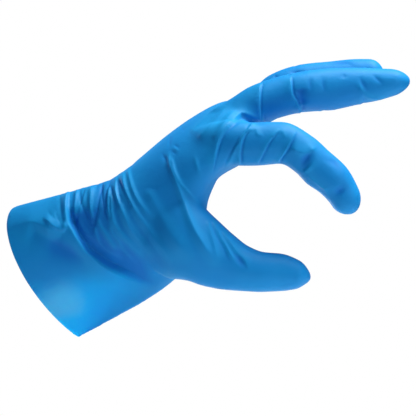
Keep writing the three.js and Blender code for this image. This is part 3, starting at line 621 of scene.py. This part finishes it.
def limb_mesh(sizes):
    """All limbs as closed surfaces in one mesh, the body carried on well past the rim."""
    points = []
    faces = []
    grids = [limb_grid(body_rows(sizes), *BODY_GRID, sizes.knuckle_deep / 2, lead=LEAD)]
    for name, (_, _, tip) in STALLS.items():
        rows = stall_rows(sizes, name)
        grids.append(limb_grid(rows, *STALL_GRID, tip * getattr(sizes, name + "_thick")))
    first = 0
    for grid in grids:
        rings, sides, _ = grid.shape
        points.append(grid.reshape(-1, 3))
        faces.extend([[corner + first for corner in face] for face in grid_faces(rings, sides)])
        first += rings * sides
    mesh = bpy.data.meshes.new("limbs")
    mesh.from_pydata(np.concatenate(points).tolist(), [], faces)
    mesh.validate()
    return mesh


def with_modifier(mesh, name, kind, **settings):
    """The mesh that a modifier of the given kind and settings makes of this one."""
    holder = bpy.data.objects.new(name, mesh)
    bpy.context.collection.objects.link(holder)
    modifier = holder.modifiers.new(name, kind)
    for setting, value in settings.items():
        setattr(modifier, setting, value)
    graph = bpy.context.evaluated_depsgraph_get()
    result = bpy.data.meshes.new_from_object(holder.evaluated_get(graph))
    bpy.data.objects.remove(holder)
    return result


def open_cuff(skin, middle, out):
    """Cuts the skin along the rim's plane and takes away what lies beyond it."""
    cut = bmesh.new()
    cut.from_mesh(skin)
    geometry = cut.verts[:] + cut.edges[:] + cut.faces[:]
    bmesh.ops.bisect_plane(cut, geom=geometry, plane_co=middle, plane_no=out, clear_outer=True, dist=1e-6)
    cut.to_mesh(skin)
    cut.free()


def read_points(mesh):
    points = np.empty(len(mesh.vertices) * 3)
    mesh.vertices.foreach_get("co", points)
    return points.reshape(-1, 3)


def write_points(mesh, points):
    mesh.vertices.foreach_set("co", points.ravel())
    mesh.update()


def read_normals(mesh):
    normals = np.empty(len(mesh.vertices) * 3)
    mesh.vertices.foreach_get("normal", normals)
    return normals.reshape(-1, 3)


def read_edges(mesh):
    edges = np.empty(len(mesh.edges) * 2, dtype=np.int64)
    mesh.edges.foreach_get("vertices", edges)
    return edges.reshape(-1, 2)


def smoothed(points, edges, weight, passes, keep=0.0):
    """Each pass moves a point by half of its weight towards the mean of its neighbours; keep then
    moves it back by that share, which holds the volume."""
    count = len(points)
    ends = np.concatenate([edges[:, 0], edges[:, 1]])
    others = np.concatenate([edges[:, 1], edges[:, 0]])
    valence = np.bincount(ends, minlength=count)[:, None]
    for _ in range(passes):
        for step in (0.5, -keep):
            if step == 0:
                continue
            mean = np.stack([np.bincount(ends, weights=points[others, k], minlength=count) for k in range(3)],
                            axis=1) / valence
            points = points + step * weight[:, None] * (mean - points)
    return points


def smooth_path(stops):
    """A path through the stops, each coordinate a curve with no overshoot."""
    stops = np.array(stops, float) * MM
    length = np.concatenate([[0.0], np.cumsum(np.linalg.norm(np.diff(stops, axis=0), axis=1))])
    at = np.linspace(0.0, length[-1], PATH_STEPS * (len(stops) - 1) + 1)
    return np.stack([smooth_column(length, stops[:, k], at) for k in range(2)], axis=1)


def fold_heights(plane, folds):
    """The sum over the folds of height times exp(-(d / flank) ^ edge), where d is the distance in the
    side view to the fold's path and flank its width on that side, less groove times a round hollow
    some widths out on the right. Height, groove and flank grow evenly from the kind's first size to its
    last along the path, and the fold fades out over each end."""
    total = np.zeros(len(plane))
    for kind, height, left, right, edge, groove, stops in folds:
        path = smooth_path(stops)
        rise, fall, first, last = FOLD_KINDS[kind]
        reach = FOLD_REACH * max(left, right) * max(first, last) * MM
        low = path.min(axis=0) - reach
        high = path.max(axis=0) + reach
        close = np.flatnonzero(((plane > low) & (plane < high)).all(axis=1))
        point = plane[close][:, None]
        start = path[:-1][None]
        span = (path[1:] - path[:-1])[None]
        share = np.clip(((point - start) * span).sum(-1) / (span**2).sum(-1), 0.0, 1.0)
        offset = point - start - share[..., None] * span
        distance = np.linalg.norm(offset, axis=-1)
        best = distance.argmin(axis=1)
        pick = (np.arange(len(close)), best)
        cross = (span[0, best, 0] * offset[pick][:, 1] - span[0, best, 1] * offset[pick][:, 0])
        along = (best + share[pick]) / (len(path) - 1)
        size = first + (last - first) * along
        fade = smooth_step(along, 0.0, rise) * smooth_step(1 - along, 0.0, fall)
        flank = np.where(cross > 0, left, right) * size * MM
        crest = height * np.exp(-((distance[pick] / flank) ** edge))
        beside = -np.sign(cross) * distance[pick] / (right * size * MM) - GROOVE_PLACE
        total[close] += MM * fade * size * (crest - groove * np.exp(-beside**2))
    return total


def fold_skin(skin, sizes):
    """Moves the skin along its normals by the folds of each side, as far as it faces that side, and
    keeps the height moved as an attribute, from which the film's colour paints shade into the furrows."""
    points = read_points(skin)
    normals = read_normals(skin)
    height = np.zeros(len(points))
    for folds, view, axis, sign, (start, full) in FOLD_SIDES:
        facing = smooth_step(sign * normals[:, axis], start, full)
        height += fold_heights(points[:, view], folds) * facing * sizes.fold_share
    write_points(skin, points + normals * height[:, None])
    relief = skin.attributes.new("relief", "FLOAT", "POINT")
    relief.data.foreach_set("value", (height / MM).astype(np.float32))


def free_share(points):
    """How freely the film hangs: 1 on the cuff's lower half, where light shines through it, and 0 above
    a slanting line, close to the rim and past the wrist."""
    along = points[:, 0] / MM
    line = FREE_LINE["height"] - FREE_LINE["fall"] * along
    below = smooth_step(line - points[:, 2] / MM, 0.0, FREE_LINE["blur"])
    before = 1 - smooth_step(along, FREE_LINE["end"] - FREE_LINE["blur"], FREE_LINE["end"])
    return below * before * smooth_step(along, FREE_LINE["start"] - 3 * FREE_LINE["blur"], FREE_LINE["start"])


def painted_highlight_share(points):
    """How much painted highlight the film takes: 1 in the middle of the patch, 0 from its reach on, beyond
    its border and on the little finger's side."""
    side_view = points[:, [0, 2]] / MM
    far = np.linalg.norm(side_view - np.array(PAINTED_HIGHLIGHT_PATCH["middle"]), axis=1)
    inside = 1 - smooth_step(far, 0.3 * PAINTED_HIGHLIGHT_PATCH["reach"], PAINTED_HIGHLIGHT_PATCH["reach"])
    before = 1 - smooth_step(side_view[:, 0], PAINTED_HIGHLIGHT_PATCH["border"] - PAINTED_HIGHLIGHT_PATCH["blur"], PAINTED_HIGHLIGHT_PATCH["border"])
    return inside * before * smooth_step(-points[:, 1] / MM, 0.0, PAINTED_HIGHLIGHT_SIDE)


def mark_film(skin):
    """Keeps how freely the film hangs, and where the cuff's painted highlight lies, as attributes for the
    film's look.
    """
    points = read_points(skin)
    # The pale attribute marks where the painted highlight lies.
    for name, share in (("free", free_share(points)), ("pale", painted_highlight_share(points))):
        attribute = skin.attributes.new(name, "FLOAT", "POINT")
        attribute.data.foreach_set("value", share.astype(np.float32))


def noise(film, scale, detail, twist=0.0):
    """A noise pattern fixed to the object."""
    nodes = film.node_tree.nodes
    place = nodes.new("ShaderNodeTexCoord")
    pattern = nodes.new("ShaderNodeTexNoise")
    pattern.inputs["Scale"].default_value = scale
    pattern.inputs["Detail"].default_value = detail
    pattern.inputs["Distortion"].default_value = twist
    film.node_tree.links.new(place.outputs["Object"], pattern.inputs["Vector"])
    return pattern.outputs["Fac"]


def attribute(film, name):
    """The value that the skin keeps under the name."""
    node = film.node_tree.nodes.new("ShaderNodeAttribute")
    node.attribute_name = name
    return node.outputs["Fac"]


def map_range(film, value, low=0.0, high=1.0, to_low=0.0, to_high=1.0):
    """The value carried evenly from one range to another."""
    node = film.node_tree.nodes.new("ShaderNodeMapRange")
    node.inputs["From Min"].default_value = low
    node.inputs["From Max"].default_value = high
    node.inputs["To Min"].default_value = to_low
    node.inputs["To Max"].default_value = to_high
    film.node_tree.links.new(value, node.inputs["Value"])
    return node.outputs["Result"]


def bump(film, height, strength, distance):
    """A bump that follows the height's pattern."""
    node = film.node_tree.nodes.new("ShaderNodeBump")
    node.inputs["Strength"].default_value = strength
    node.inputs["Distance"].default_value = distance
    film.node_tree.links.new(height, node.inputs["Height"])
    return node


def film_colour(film, colours):
    """The film's blue, deeper in slow clouds, darkened in the furrows as painted shade, and lighter in the
    cuff's patch as a painted highlight.
    """
    nodes = film.node_tree.nodes
    links = film.node_tree.links
    clouds_and_furrow_shade = nodes.new("ShaderNodeMath")
    clouds_and_furrow_shade.operation = "MULTIPLY_ADD"
    clouds_and_furrow_shade.inputs[1].default_value = CLOUD_SHARE
    clouds_and_furrow_shade.use_clamp = True
    links.new(noise(film, *CLOUDS), clouds_and_furrow_shade.inputs[0])
    # Painted shade: the film is darkened towards the deep blue where its relief lies low, in the furrows.
    links.new(map_range(film, attribute(film, "relief"), *FURROW_SHADE_RELIEF), clouds_and_furrow_shade.inputs[2])
    blend = nodes.new("ShaderNodeMix")
    blend.data_type = "RGBA"
    blend.inputs["A"].default_value = (*colours.film, 1)
    blend.inputs["B"].default_value = (*colours.deep, 1)
    links.new(clouds_and_furrow_shade.outputs["Value"], blend.inputs["Factor"])
    # Painted highlight: the pale blue is mixed in where the pale attribute marks the cuff's patch.
    painted_highlight_mix = nodes.new("ShaderNodeMix")
    painted_highlight_mix.data_type = "RGBA"
    painted_highlight_mix.inputs["B"].default_value = (*colours.pale, 1)
    links.new(attribute(film, "pale"), painted_highlight_mix.inputs["Factor"])
    links.new(blend.outputs["Result"], painted_highlight_mix.inputs["A"])
    return painted_highlight_mix.outputs["Result"]


def film_material(colours):
    """Dipped nitrile: a satin gloss that varies a little, a fine grain with a few drawn-out ripples, and
    light shining through where the film hangs free."""
    film = bpy.data.materials.new("nitrile_film")
    film.use_nodes = True
    links = film.node_tree.links
    shader = film.node_tree.nodes["Principled BSDF"]
    links.new(film_colour(film, colours), shader.inputs["Base Color"])
    rough = map_range(film, noise(film, *GLOSS), to_low=ROUGHNESS[0], to_high=ROUGHNESS[1])
    links.new(rough, shader.inputs["Roughness"])
    fine = bump(film, noise(film, *GRAIN), *GRAIN_BUMP)
    broad = bump(film, noise(film, *RIPPLES, RIPPLE_TWIST), *RIPPLE_BUMP)
    links.new(fine.outputs["Normal"], broad.inputs["Normal"])
    links.new(broad.outputs["Normal"], shader.inputs["Normal"])
    shader.inputs["Specular IOR Level"].default_value = SHEEN_LEVEL
    glow = map_range(film, attribute(film, "free"), to_low=GLOW[0], to_high=GLOW[1])
    links.new(glow, shader.inputs["Subsurface Weight"])
    shader.inputs["Subsurface Radius"].default_value = GLOW_COLOUR
    shader.inputs["Subsurface Scale"].default_value = GLOW_DEPTH
    return film


def blend_share(points):
    """How much of the smoothing each point takes: the largest of the blends' shares, each full over the
    blend's core and fading to none at its reach."""
    blend = np.zeros(len(points))
    for place, reach, share in BLENDS:
        far = np.linalg.norm(points / MM - np.array(place), axis=1)
        blend = np.maximum(blend, share * (1 - smooth_step(far, BLEND_CORE * reach, reach)))
    return blend


def bare_skin(sizes):
    """The limbs fused into one closed skin, smoothed where they meet and along the palm edge."""
    skin = with_modifier(limb_mesh(sizes), "fuse", "REMESH", mode="VOXEL", voxel_size=sizes.facet)
    points = read_points(skin)
    if len(points) == 0:
        raise RuntimeError("the limbs gave no skin")
    edges = read_edges(skin)
    points = smoothed(points, edges, blend_share(points), sizes.smoothing)
    points = smoothed(points, edges, np.ones(len(points)), SKIN_PASSES, keep=GIVEN_BACK)
    palm_edge = smooth_step(-points[:, 2] / MM, *EDGE_BLUR)
    points = smoothed(points, edges, palm_edge, EDGE_PASSES, keep=GIVEN_BACK)
    write_points(skin, points)
    return skin


class OBJECT_OT_glove_shell(bpy.types.Operator):
    """Builds the glove's film from its limbs, lays in the folds and opens the cuff."""

    bl_idname = "object.glove_shell"
    bl_label = "Glove film"

    def execute(self, context):
        sizes = context.scene.glove_sizes
        skin = with_modifier(bare_skin(sizes), "halve", "SUBSURF", levels=1, render_levels=1)
        fold_skin(skin, sizes)
        mark_film(skin)
        open_cuff(skin, *rim_plane(body_rows(sizes)))
        share = sizes.most_faces / (2 * len(skin.polygons))
        skin = with_modifier(skin, "thin_out", "DECIMATE", ratio=min(1.0, share))
        for polygon in skin.polygons:
            polygon.use_smooth = True
        skin.name = "glove_film"
        glove = bpy.data.objects.new("glove_film", skin)
        context.collection.objects.link(glove)
        wall = glove.modifiers.new("Wall", "SOLIDIFY")
        wall.thickness = sizes.film
        wall.offset = -1
        skin.materials.append(film_material(context.scene.glove_colours))
        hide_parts("glove_shell")
        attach(glove, "root")
        return {"FINISHED"}


def pale_floor(colour):
    """A round matt floor well below the glove."""
    disc = bmesh.new()
    bmesh.ops.create_circle(disc, cap_ends=True, segments=96, radius=FLOOR_REACH)
    bmesh.ops.translate(disc, verts=disc.verts, vec=(VIEW_CENTRE[0], 0.0, FLOOR_HEIGHT))
    mesh = bpy.data.meshes.new("floor")
    disc.to_mesh(mesh)
    disc.free()
    floor = bpy.data.objects.new("floor", mesh)
    bpy.context.collection.objects.link(floor)
    pale = bpy.data.materials.new("pale_floor")
    pale.use_nodes = True
    paint = pale.node_tree.nodes["Principled BSDF"]
    paint.inputs["Base Color"].default_value = (*colour, 1)
    paint.inputs["Roughness"].default_value = 0.9
    mesh.materials.append(pale)


def studio_world():
    """A white backdrop, with a dim bluish room that lights the glove."""
    world = bpy.data.worlds.new("studio")
    world.use_nodes = True
    nodes = world.node_tree.nodes
    links = world.node_tree.links
    room = nodes["Background"]
    room.inputs["Color"].default_value = ROOM_COLOUR
    room.inputs["Strength"].default_value = ROOM_STRENGTH
    backdrop = nodes.new("ShaderNodeBackground")
    backdrop.inputs["Color"].default_value = (1, 1, 1, 1)
    backdrop.inputs["Strength"].default_value = 1.0
    seen = nodes.new("ShaderNodeLightPath")
    either = nodes.new("ShaderNodeMixShader")
    links.new(seen.outputs["Is Camera Ray"], either.inputs["Fac"])
    links.new(room.outputs["Background"], either.inputs[1])
    links.new(backdrop.outputs["Background"], either.inputs[2])
    links.new(either.outputs["Shader"], nodes["World Output"].inputs["Surface"])
    return world


def area_light(name, place, aim, size, power, colour):
    """A square soft light of the given size and power that looks from its place at its aim."""
    lamp = bpy.data.lights.new(name, "AREA")
    lamp.size = size
    lamp.energy = power
    lamp.color = colour
    light = bpy.data.objects.new(name, lamp)
    light.location = place
    light.rotation_euler = (Vector(aim) - Vector(place)).to_track_quat("-Z", "Y").to_euler()
    bpy.context.collection.objects.link(light)


def side_camera():
    """A long lens that looks straight at the thumb side, as the photograph does."""
    lens = bpy.data.cameras.new("camera")
    lens.sensor_width = SENSOR_WIDTH
    lens.lens = SENSOR_WIDTH * CAMERA_DISTANCE / VIEW_WIDTH
    lens.clip_start = 0.05
    lens.clip_end = 20
    camera = bpy.data.objects.new("camera", lens)
    camera.location = Vector(VIEW_CENTRE) + Vector((0, -CAMERA_DISTANCE, 0))
    camera.rotation_euler = (math.pi / 2, 0, 0)
    bpy.context.collection.objects.link(camera)
    return camera


class SCENE_OT_glove_stage(bpy.types.Operator):
    """Sets the pale floor, the soft light and the camera at the photograph's angle."""

    bl_idname = "scene.glove_stage"
    bl_label = "Studio stage"

    def execute(self, context):
        scene = context.scene
        pale_floor(scene.glove_colours.floor)
        scene.world = studio_world()
        for light in LIGHTS:
            area_light(*light)
        scene.camera = side_camera()
        scene.view_settings.view_transform = "Standard"
        return {"FINISHED"}


class VIEW3D_PT_glove(bpy.types.Panel):
    """Lists the glove's sizes, colours and operators in the sidebar."""

    bl_label = "Glove"
    bl_space_type = "VIEW_3D"
    bl_region_type = "UI"
    bl_category = "Glove"

    def draw(self, context):
        column = self.layout.column()
        for group in (context.scene.glove_sizes, context.scene.glove_colours):
            for name in group.__annotations__:
                column.prop(group, name)
        column.operator("scene.glove_stage")
        column.operator("object.glove_shell")


CLASSES = (GloveSizes, GloveColours, OBJECT_OT_glove_shell, SCENE_OT_glove_stage, VIEW3D_PT_glove)


def register():
    for cls in CLASSES:
        bpy.utils.register_class(cls)
    bpy.types.Scene.glove_sizes = PointerProperty(type=GloveSizes)
    bpy.types.Scene.glove_colours = PointerProperty(type=GloveColours)


def unregister():
    del bpy.types.Scene.glove_colours
    del bpy.types.Scene.glove_sizes
    for cls in reversed(CLASSES):
        bpy.utils.unregister_class(cls)


def main():
    register()
    bpy.ops.scene.glove_stage()
    bpy.ops.object.glove_shell()
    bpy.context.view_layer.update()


if __name__ == "__main__":
    main()
